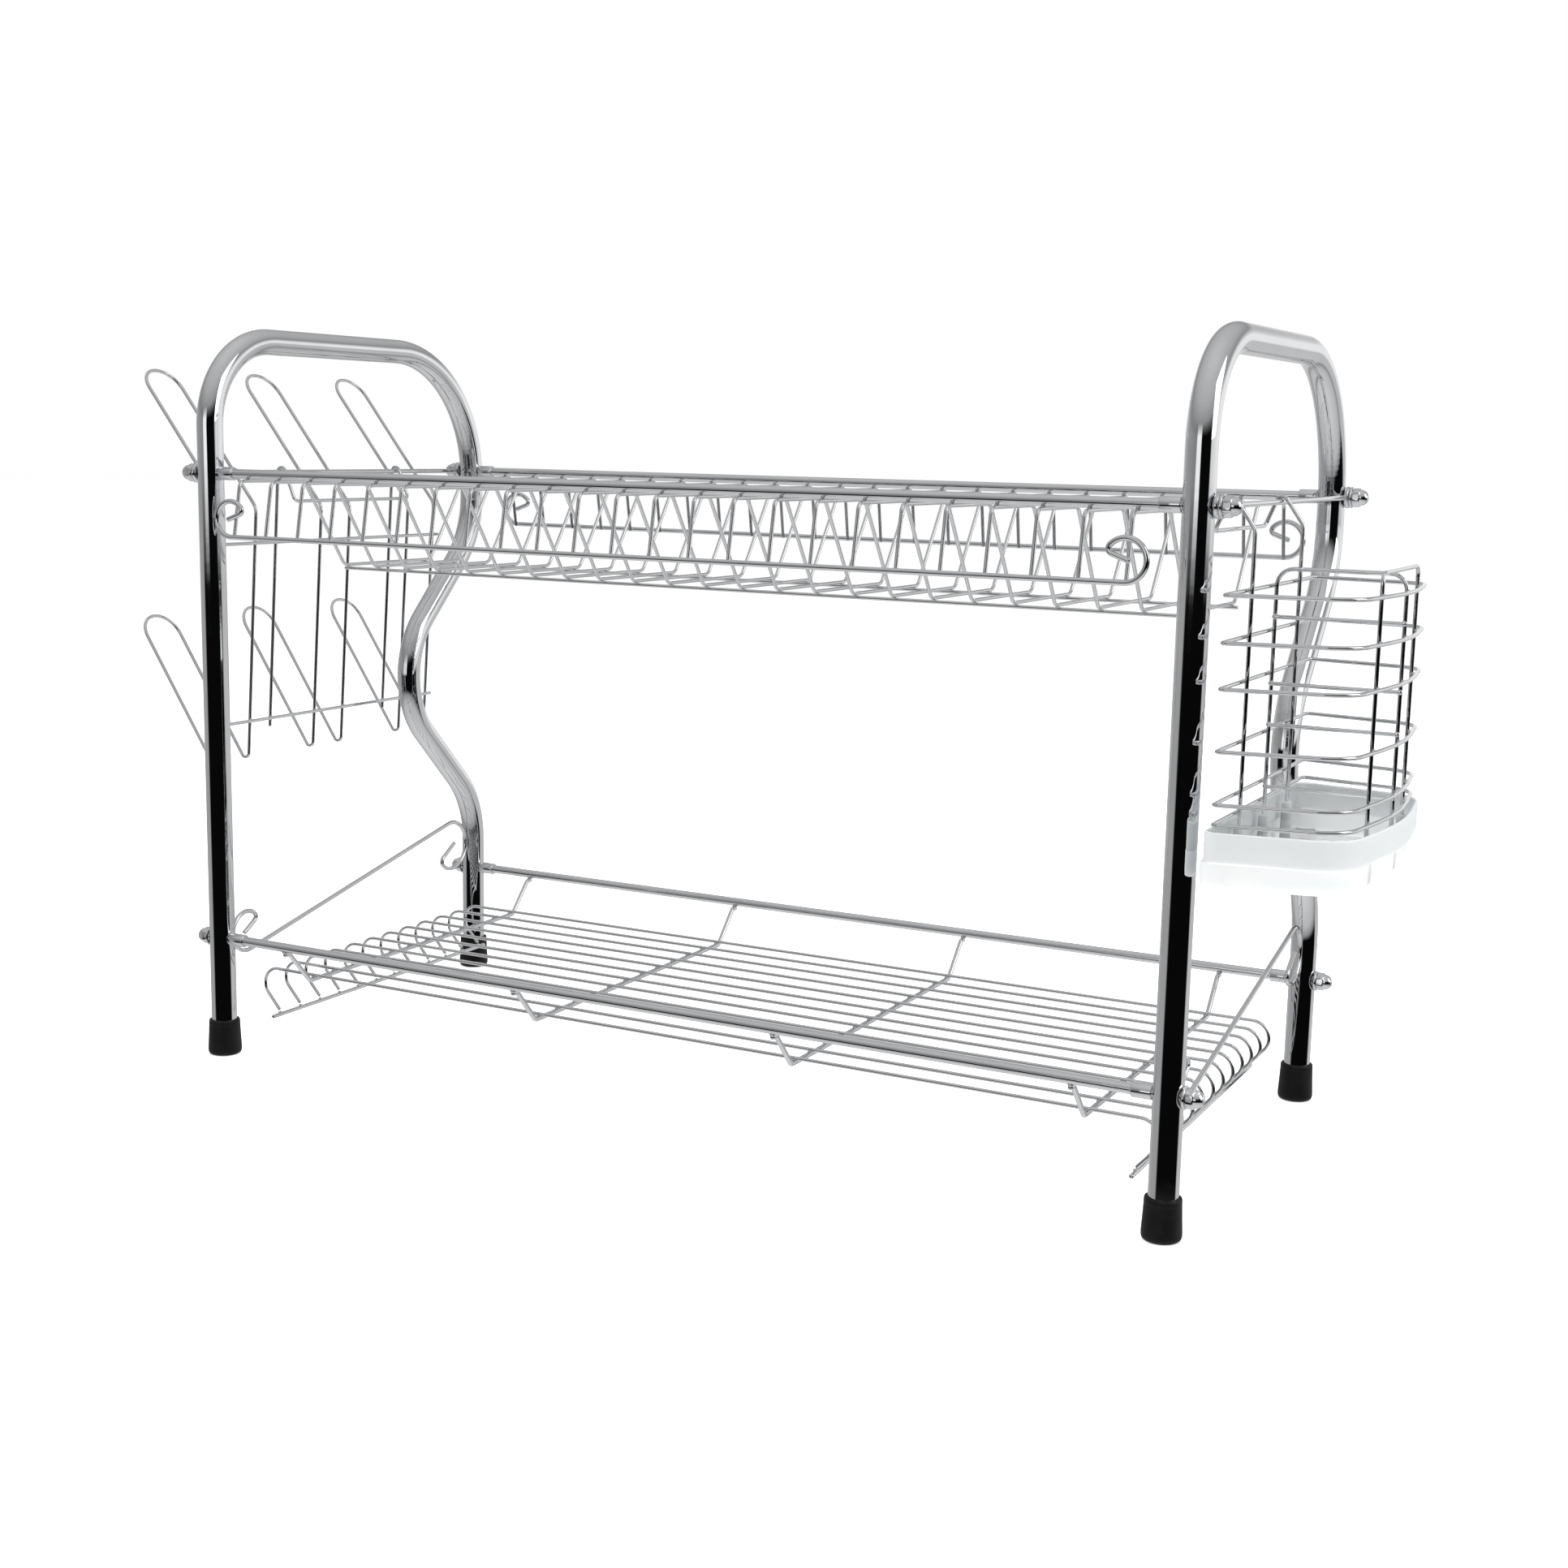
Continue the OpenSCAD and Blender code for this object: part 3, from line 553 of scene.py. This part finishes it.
for i in range(1, 5):
    node = f"shelf_cross_wire_{i}"
    x = mid(node)[0]
    shape = Shape()
    shape.wire(fillet([
        ([x, -LEG_Y - 1, CROSS_TOP], 0), ([x, -LEG_Y + 3, CROSS_TOP], 2),
        ([x, -CROSS_FOOT_Y, CROSS_Z], 3), ([x, CROSS_FOOT_Y, CROSS_Z], 3),
        ([x, LEG_Y - 3, CROSS_TOP], 2), ([x, LEG_Y + 1, CROSS_TOP], 0)]), CROSS, sides=16)
    for y in SHELF_YS:
        shape.bead([x, y, CROSS_Z + CROSS / 2], [1.3, 1.2, 0.75])
    for s in (-1, 1):
        shape.bead([x, s * LEG_Y, CROSS_TOP + CROSS / 2], [1.6, 1.9, 0.9])
    shape.make(f"shelf_cross_rod_{i}", "rack", wire_chrome, [node])

turn = math.radians(CURL_TURN)
shelf_reach = CURL_X + CURL_R * math.tan(turn / 2)
shelf_tail = (shelf_reach + CURL_TAIL * math.cos(turn), SHELF_Z - CURL_TAIL * math.sin(turn))
shape = Shape()
for y in SHELF_YS:
    shape.wire(fillet([
        ([-shelf_tail[0], y, shelf_tail[1]], 0), ([-shelf_reach, y, SHELF_Z], CURL_R),
        ([shelf_reach, y, SHELF_Z], CURL_R), ([shelf_tail[0], y, shelf_tail[1]], 0)]),
        THIN, sides=12)
shape.make("shelf_long_rods", "rack", wire_chrome, ["shelf_long_wires"])

for name in ("left", "right"):
    node = "shelf_toe_bar_" + name
    c, d = mid(node), high(node)[2] - low(node)[2]
    shape = Shape()
    shape.wire(straight(c, high(node)[1], 1, 20), d, sides=14)
    for y in SHELF_YS:
        shape.bead([c[0], y, c[2] + d / 2], [1.2, 1.1, 0.8])
    shape.make(name + "_toe_rod", "rack", wire_chrome, [node])

FRONT_R, REAR_R = 10.5, 14.0
touch_y = LEG_Y - TUBE_D / 2 - WELD - STOUT / 2
for name, x in (("left", -LEG_X), ("right", LEG_X)):
    front_c = np.array([x, FRONT_R - touch_y, LOWER_Z])
    rear_c = np.array([x, touch_y - REAR_R, LOWER_Z + 16.5])
    span = rear_c - front_c
    slope = math.atan2(span[2], span[1]) + math.asin((FRONT_R + REAR_R) / np.linalg.norm(span))
    along = np.array([0, math.cos(slope), math.sin(slope)])
    up = np.array([0, -math.sin(slope), math.cos(slope)])
    front = scroll(front_c - FRONT_R * up, -along, up, FRONT_R)
    rear = scroll(rear_c + REAR_R * up, along, -up, REAR_R)
    shape = Shape()
    shape.wire(np.concatenate([front[::-1], np.linspace(front[0], rear[0], 14)[1:-1], rear]),
               STOUT, sides=16)
    shape.make(name + "_scroll_rod", "rack", wire_chrome, ["side_scroll_" + name])

# ---------------------------------------------------------------- cup holder
LOOP_PITCH = mid("cup_loop_rear")[1]
LOOP_HALF = (high("cup_loop_rear")[1] - low("cup_loop_rear")[1] - THIN) / 2
CUP_X = -LEG_X - 11.7
CUP_HOOK_HALF, CUP_HOOK_BAR_Z = 48.0, 286.5
LEAN_UP, LEAN_LOW = math.radians(51.2), math.radians(56.1)
ELBOW_Z, VEE_Z = 283.0, 144.5
PRONG_UP, PRONG_LOW = 90.0, 95.0
BAR_UP_Z, BAR_LOW_Z = mid("cup_bar_upper")[2], mid("cup_bar_lower")[2]
TIP_R = LOOP_HALF - 0.02
CUP_SPLAY = 9.2  # how much further out the uprights stand at the V than at the elbow
VEE_X = CUP_X - CUP_SPLAY
CUP_LEAN = CUP_SPLAY / (ELBOW_Z - VEE_Z)


def upright_x(z):
    """Where the leaning uprights of the cup holder are at height z."""
    return CUP_X + CUP_LEAN * (z - ELBOW_Z)


for name, y in (("front", -LOOP_PITCH), ("middle", 0.0), ("rear", LOOP_PITCH)):
    near, far = y - LOOP_HALF, y + LOOP_HALF
    up = (CUP_X - PRONG_UP * math.cos(LEAN_UP), ELBOW_Z + PRONG_UP * math.sin(LEAN_UP))
    out = (VEE_X - PRONG_LOW * math.cos(LEAN_LOW), VEE_Z + PRONG_LOW * math.sin(LEAN_LOW))
    shape = Shape()
    shape.wire(fillet([
        ([VEE_X, near, VEE_Z], 2.5), ([CUP_X, near, ELBOW_Z], 8), ([up[0], near, up[1]], TIP_R),
        ([up[0], far, up[1]], TIP_R), ([CUP_X, far, ELBOW_Z], 8), ([VEE_X, far, VEE_Z], 2.5),
        ([out[0], far, out[1]], TIP_R), ([out[0], near, out[1]], TIP_R)],
        closed=True), THIN, sides=14, closed=True)
    for z in (BAR_UP_Z, BAR_LOW_Z):
        for s in (near, far):
            shape.bead([upright_x(z) + THIN / 2, s, z], [0.7, 1.15, 1.15])
    shape.make(name + "_cup_loop", "cup_holder", wire_chrome, ["cup_loop_" + name])

for name in ("upper", "lower"):
    node = "cup_bar_" + name
    shape = Shape()
    shape.wire(straight(mid(node), high(node)[1], 1, 20), THIN, sides=14)
    shape.make(name + "_cup_bar", "cup_holder", wire_chrome, [node])

INNER_SLOPE = math.radians(68.0)
HOOK_R = STOUT / 2 + 0.25 + THIN / 2


def hook_line(side, y, half, foot_x, end_z, lean, bar_z, outer_degrees):
    """Two hooks of one wire: up, over the hanger wire, down to the inner bar and back. The
    hook is tangent to the circle HOOK_R about the hanger wire on both of its slopes."""
    outer = math.radians(outer_degrees)
    scale = HOOK_R / math.sin(INNER_SLOPE + outer)
    apex_x = side * (HANGER_X + scale * (math.cos(INNER_SLOPE) - math.cos(outer)))
    apex_z = UPPER_Z + scale * (math.sin(INNER_SLOPE) + math.sin(outer))
    fall = side / math.tan(outer)
    knee_z = (apex_x + fall * apex_z - foot_x + lean * end_z) / (lean + fall)
    knee_x = foot_x + lean * (knee_z - end_z)
    bar_x = apex_x - side * (apex_z - bar_z) / math.tan(INNER_SLOPE)
    near = [([foot_x, y - half, end_z], 0), ([knee_x, y - half, knee_z], 4),
            ([apex_x, y - half, apex_z], HOOK_R), ([bar_x, y - half, bar_z], 2.5)]
    far = [([p[0], 2 * y - p[1], p[2]], r) for p, r in near[::-1]]
    return fillet(near + far)


shape = Shape()
foot_z = 164.5
shape.wire(hook_line(-1, 0.0, CUP_HOOK_HALF, upright_x(foot_z), foot_z, CUP_LEAN,
                     CUP_HOOK_BAR_Z, 64.0), THIN, sides=14)
for s in (-CUP_HOOK_HALF, CUP_HOOK_HALF):
    for z in (BAR_UP_Z, BAR_LOW_Z):
        shape.bead([upright_x(z) + THIN / 2, s, z], [0.7, 1.15, 1.15])
shape.make("cup_hook_rod", "cup_holder", wire_chrome, ["cup_hook_wire"])

# ---------------------------------------------------------------- cutlery basket
BASKET_HALF = (high("basket_ring_1")[1] - low("basket_ring_1")[1] - THIN) / 2
BASKET_X = RING_X + THIN + WELD
BASKET_DEPTH = 56.5
BOW_X = RING_X + BASKET_DEPTH - THIN - WELD
HOOK_HALF = 38.0
OUTER_X, OUTER_HALF = BOW_X - 2.7, 34.0
LEG_END = low("basket_hook_wire")[2]
RING_ZS = [mid(f"basket_ring_{i}")[2] for i in range(1, 7)]


def basket_plan(g, z, shift=0.0):
    """Corners of the basket seen from above, grown outwards by g."""
    x, y = RING_X + shift, BASKET_Y
    corner_x = x + BASKET_DEPTH - 6.2 + 0.9 * g
    return [([x - g, y - BASKET_HALF - g, z], 2.2 + g),
            ([corner_x, y - BASKET_HALF + 9 - g, z], 16 + g),
            ([x + BASKET_DEPTH + 1.7 + g, y, z], 220 + g),
            ([corner_x, y + BASKET_HALF - 9 + g, z], 16 + g),
            ([x - g, y + BASKET_HALF + g, z], 2.2 + g)]


for i, z in enumerate(RING_ZS, 1):
    shape = Shape()
    shape.wire(fillet(basket_plan(0, z), closed=True, step=5), THIN, sides=14, closed=True)
    for y in (-HOOK_HALF, 0, HOOK_HALF):
        shape.bead([RING_X + THIN / 2, BASKET_Y + y, z], [0.7, 1.15, 1.15])
    shape.bead([BOW_X + THIN / 2, BASKET_Y, z], [0.8, 1.15, 1.15])
    for s in (-OUTER_HALF, OUTER_HALF):
        shape.bead([OUTER_X + THIN / 2, BASKET_Y + s, z], [0.8, 1.15, 1.15])
    shape.make(f"basket_hoop_{i}", "cutlery_basket", wire_chrome, [f"basket_ring_{i}"])

top_z = high("basket_divider_hoop")[2] - THIN / 2
shape = Shape()
shape.wire(fillet([([BASKET_X, BASKET_Y, LEG_END], 0), ([BASKET_X, BASKET_Y, top_z], 7),
                   ([BOW_X, BASKET_Y, top_z], 7), ([BOW_X, BASKET_Y, LEG_END], 0)]),
           THIN, sides=14)
shape.make("basket_divider_rod", "cutlery_basket", wire_chrome, ["basket_divider_hoop"])

shape = Shape()
y = mid("basket_divider_bars")[1]
for z in (255.3, 227.5, 210.2, 184.0):
    xs = np.linspace(BASKET_X - 0.5, BOW_X + 0.2, 8)
    shape.wire(np.stack([xs, 0 * xs + y, 0 * xs + z], -1), THIN, sides=14)
    for x in (BASKET_X, BOW_X):
        shape.bead([x, y + THIN / 2, z], [1.15, 0.7, 1.15])
shape.make("basket_divider_cross_bars", "cutlery_basket", wire_chrome,
           ["basket_divider_bars"])

top_z = high("basket_outer_hoop")[2] - THIN / 2
near, far = BASKET_Y - OUTER_HALF, BASKET_Y + OUTER_HALF
shape = Shape()
shape.wire(fillet([([OUTER_X, near, LEG_END], 0), ([OUTER_X, near, top_z], 4),
                   ([OUTER_X, far, top_z], 4), ([OUTER_X, far, LEG_END], 0)]), THIN, sides=14)
shape.make("basket_outer_rod", "cutlery_basket", wire_chrome, ["basket_outer_hoop"])

shape = Shape()
shape.wire(hook_line(1, BASKET_Y, HOOK_HALF, BASKET_X, LEG_END, 0.0, 291.0, 55.0), THIN, sides=14)
shape.make("basket_hook_rod", "cutlery_basket", wire_chrome, ["basket_hook_wire"])

# ---------------------------------------------------------------- drip cup
CUP_RIM, CUP_FLOOR = high("drip_cup")[2], low("drip_cup")[2]


def outline(g, z, shift):
    """The cup's plan as the same number of points at any size, spread along its corners."""
    corners = basket_plan(g, z, shift)
    points = [np.array(c[0], float) for c in corners]
    out = []
    for i, (p, r) in enumerate(zip(points, [c[1] for c in corners])):
        along = unit(p - points[i - 1])
        onward = unit(points[(i + 1) % len(points)] - p)
        turn = math.acos(np.clip(along @ onward, -1, 1))
        inward = unit(onward - (along @ onward) * along)
        centre = p - r * math.tan(turn / 2) * along + r * inward
        t = np.linspace(0, turn, 13)[:, None]
        out.append(centre + r * (np.sin(t) * along - np.cos(t) * inward))
    return np.concatenate(out)


wall = [(-9, CUP_FLOOR + 0.5, -2), (-2, CUP_FLOOR + 0.1, -2), (0.6, CUP_FLOOR, -2),
        (1.5, CUP_FLOOR + 0.2, -2), (2.1, CUP_FLOOR + 0.8, -2), (2.4, CUP_FLOOR + 1.8, -2),
        (2.6, CUP_FLOOR + 5, -2), (2.6, LIP_Z - 0.9, -2), (2.7, LIP_Z - 0.3, -1.7),
        (3.1, LIP_Z, -0.4), (3.4, LIP_Z + 0.5, 0), (3.4, LIP_Z + 2, 0), (3.4, CUP_RIM - 1, 0),
        (3.3, CUP_RIM - 0.3, 0), (3.0, CUP_RIM, 0), (2.5, CUP_RIM, 0), (2.1, CUP_RIM - 0.3, 0),
        (2.0, CUP_RIM - 1, 0), (2.0, LIP_Z + 1, 0), (1.7, LIP_Z + 0.2, -0.3),
        (1.2, LIP_Z - 0.4, -2), (1.2, CUP_FLOOR + 3, -2), (0.6, CUP_FLOOR + 1.9, -2),
        (-0.6, CUP_FLOOR + 1.6, -2), (-9, CUP_FLOOR + 1.7, -2)]
rows = np.stack([outline(g, z, shift) for g, z, shift in wall])
centre_x, centre_y = rows[0, :, 0].mean(), rows[0, :, 1].mean()
shape = Shape()
shape.grid(rows, pole_a=[centre_x, centre_y, CUP_FLOOR + 0.5],
           pole_b=[centre_x, centre_y, CUP_FLOOR + 1.7])
SOCKETS = [(BASKET_X, BASKET_Y - HOOK_HALF), (BASKET_X, BASKET_Y), (BASKET_X, BASKET_Y + HOOK_HALF),
           (BOW_X, BASKET_Y), (OUTER_X, near), (OUTER_X, far)]
for x, y in SOCKETS:
    shape.ring([(1.25, 0.4), (2.3, 0.4), (2.25, 12), (2.2, LEG_END + 2.6 - CUP_FLOOR),
                (2.0, LEG_END + 3 - CUP_FLOOR), (1.4, LEG_END + 3 - CUP_FLOOR), (1.25, 15)],
               [x, y, CUP_FLOOR + 0.8], [0, 0, 1], sides=24)
RIB_PITCH, RIB_D = 4.0, 1.3
for y in np.arange(-60.0, 61.0, RIB_PITCH):
    # fine ribs across the floor, on which the water drains
    xs = np.linspace(RING_X + 1.5, RING_X + BASKET_DEPTH - 9, 5)
    shape.wire(np.stack([xs, 0 * xs + BASKET_Y + y, 0 * xs + CUP_FLOOR + 1.7], -1), RIB_D, sides=8)
shape.make("frosted_drip_cup", "drip_cup", cup_plastic, ["drip_cup"])

# ---------------------------------------------------------------- floor, camera, lights
AZIMUTH, PITCH, ROLL = (math.radians(v) for v in (27.63, 9.39, 1.13))
EYE = np.array([494.4, -912.7, 324.0])
ahead = np.array([-math.sin(AZIMUTH) * math.cos(PITCH), math.cos(AZIMUTH) * math.cos(PITCH),
                  -math.sin(PITCH)])
right = np.array([math.cos(AZIMUTH), math.sin(AZIMUTH), 0.0])
above = np.cross(right, ahead)
r2 = right * math.cos(ROLL) + above * math.sin(ROLL)
u2 = -right * math.sin(ROLL) + above * math.cos(ROLL)
camera = bpy.data.objects.new("camera", bpy.data.cameras.new("camera"))
bpy.context.scene.collection.objects.link(camera)
camera.data.lens, camera.data.sensor_width = 47.9, 36.0
camera.data.clip_start, camera.data.clip_end = 0.02, 60
turned = np.eye(4)
turned[:3, 0], turned[:3, 1], turned[:3, 2], turned[:3, 3] = r2, u2, -ahead, EYE / M
camera.matrix_world = Matrix(turned.tolist())
bpy.context.scene.camera = camera

floor_made, floor_tree, floor_at = material("pale_studio_floor")
speck = add(floor_tree, "ShaderNodeTexNoise", {"Vector": floor_at}, Scale=3.0, Detail=2.0)
floor_tone = add(floor_tree, "ShaderNodeValToRGB", {"Fac": speck.outputs["Fac"]})
floor_tone.color_ramp.elements[0].color = rgb("#F6F6F6")
floor_tone.color_ramp.elements[1].color = rgb("#FAFAFA")
floor_shader = add(floor_tree, "ShaderNodeBsdfPrincipled",
                   {"Base Color": floor_tone.outputs["Color"]}, Roughness=0.7,
                   Emission_Color=(1, 1, 1, 1), Emission_Strength=0.52)
finish_material(floor_tree, floor_shader)
floor_mesh = bpy.data.meshes.new("studio_floor")
HALF = 12.0  # half the side of the floor, in metres
floor_mesh.from_pydata([(-HALF, -HALF, 0), (HALF, -HALF, 0), (HALF, HALF, 0), (-HALF, HALF, 0)],
                       [], [(0, 1, 2, 3)])
floor_mesh.materials.append(floor_made)
floor = bpy.data.objects.new("studio_floor", floor_mesh)
bpy.context.scene.collection.objects.link(floor)
floor.visible_glossy = False

# The studio round the rack, seen only in reflections: grey overhead, a black opening in front
# that widens towards the ground, a white panel to its left, grey walls beside and behind, a
# pale table below. Matt surfaces are lit by a plain pale tent, and camera rays see plain white.
world = bpy.data.worlds.new("studio")
bpy.context.scene.world = world
world.use_nodes = True
tree = world.node_tree
tree.nodes.clear()
direction = add(tree, "ShaderNodeTexCoord").outputs["Generated"]
part = add(tree, "ShaderNodeSeparateXYZ", {"Vector": direction})
turn_by = add(tree, "ShaderNodeVectorRotate", {"Vector": direction},
              rotation_type="Z_AXIS", Angle=-AZIMUTH)
flat = add(tree, "ShaderNodeSeparateXYZ", {"Vector": turn_by.outputs[0]})
back = add(tree, "ShaderNodeMath", {0: flat.outputs["Y"]}, operation="MULTIPLY")
back.inputs[1].default_value = -1.0
swing = add(tree, "ShaderNodeMath", {0: flat.outputs["X"], 1: back.outputs[0]},
            operation="ARCTAN2")
around = add(tree, "ShaderNodeMapRange", {"Value": swing.outputs[0]},
             From_Min=-math.pi, From_Max=math.pi)


def ramp(value, stops):
    """Grey ramp over a value from 0 to 1; stops are (place, grey)."""
    node = add(tree, "ShaderNodeValToRGB", {"Fac": value})
    while len(node.color_ramp.elements) < len(stops):
        node.color_ramp.elements.new(0.5)
    for element, (place, grey) in zip(node.color_ramp.elements, stops):
        element.position, element.color = place, (grey, grey, grey, 1)
    return node.outputs["Color"]


def at(degrees):
    """Place on the ramp of a bearing: 0 is towards the viewer, positive to the viewer's right."""
    return (degrees + 180) / 360


level_grey = ramp(around.outputs[0], [
    (0.0, 0.80), (at(-120), 0.40), (at(-47), 0.28), (at(-42), 1.15), (at(-17), 1.15),
    (at(-13), 0.003), (at(53), 0.003), (at(60), 0.85), (at(120), 1.05), (1.0, 0.80)])
under_grey = ramp(around.outputs[0], [
    (0.0, 0.62), (at(-120), 0.42), (at(-76), 0.40), (at(-66), 0.003), (at(82), 0.003),
    (at(92), 0.62), (1.0, 0.62)])
height = add(tree, "ShaderNodeMapRange", {"Value": part.outputs["Z"]}, From_Min=-1, From_Max=1)
rise = height.outputs[0]
lower = ramp(rise, [(0.0, 1.0), (0.465, 1.0), (0.492, 0.0), (1.0, 0.0)])
ring_grey = add(tree, "ShaderNodeMix", {"Factor": lower, 6: level_grey, 7: under_grey},
                data_type="RGBA")
lift_grey = ramp(rise, [
    (0.0, 0.80), (0.22, 0.60), (0.29, 0.34), (0.34, 0.16), (0.60, 0.16), (0.68, 0.34),
    (0.80, 0.50), (0.92, 0.58), (1.0, 0.66)])
band = ramp(rise, [(0.0, 0.0), (0.29, 0.0), (0.33, 1.0), (0.58, 1.0), (0.68, 0.0), (1.0, 0.0)])
lit = add(tree, "ShaderNodeMix", {"Factor": band, 6: lift_grey, 7: ring_grey.outputs[2]},
          data_type="RGBA")
path = add(tree, "ShaderNodeLightPath")
mirrored = add(tree, "ShaderNodeMix", {"Factor": path.outputs["Is Glossy Ray"],
                                       7: lit.outputs[2]}, data_type="RGBA")
mirrored.inputs[6].default_value = (0.5, 0.5, 0.5, 1)
shown = add(tree, "ShaderNodeMix", {"Factor": path.outputs["Is Camera Ray"],
                                    6: mirrored.outputs[2]}, data_type="RGBA")
shown.inputs[7].default_value = (1.0, 1.0, 1.0, 1)
background = add(tree, "ShaderNodeBackground", {"Color": shown.outputs[2]}, Strength=1.0)
add(tree, "ShaderNodeOutputWorld", {"Surface": background.outputs[0]})


def softbox(name, place, aim, size, power):
    light = bpy.data.lights.new(name, "AREA")
    light.shape, light.size, light.size_y, light.energy = "RECTANGLE", size[0], size[1], power
    lamp = bpy.data.objects.new(name, light)
    bpy.context.scene.collection.objects.link(lamp)
    back_z = unit(np.array(place, float) - np.array(aim, float))
    side_x = unit(np.cross([0, 0, 1.0], back_z))
    frame_m = np.eye(4)
    frame_m[:3, 0], frame_m[:3, 1], frame_m[:3, 2] = side_x, np.cross(back_z, side_x), back_z
    frame_m[:3, 3] = place
    lamp.matrix_world = Matrix(frame_m.tolist())
    return lamp


overhead = softbox("overhead_softbox", (0.1, -0.1, 2.2), (0, 0, 0), (2.4, 1.8), 75)
overhead.visible_glossy = False
softbox("right_softbox", (2.0, 0.2, 1.1), (0, 0, 0.2), (1.2, 1.4), 9)
bpy.context.scene.view_settings.view_transform = "Standard"
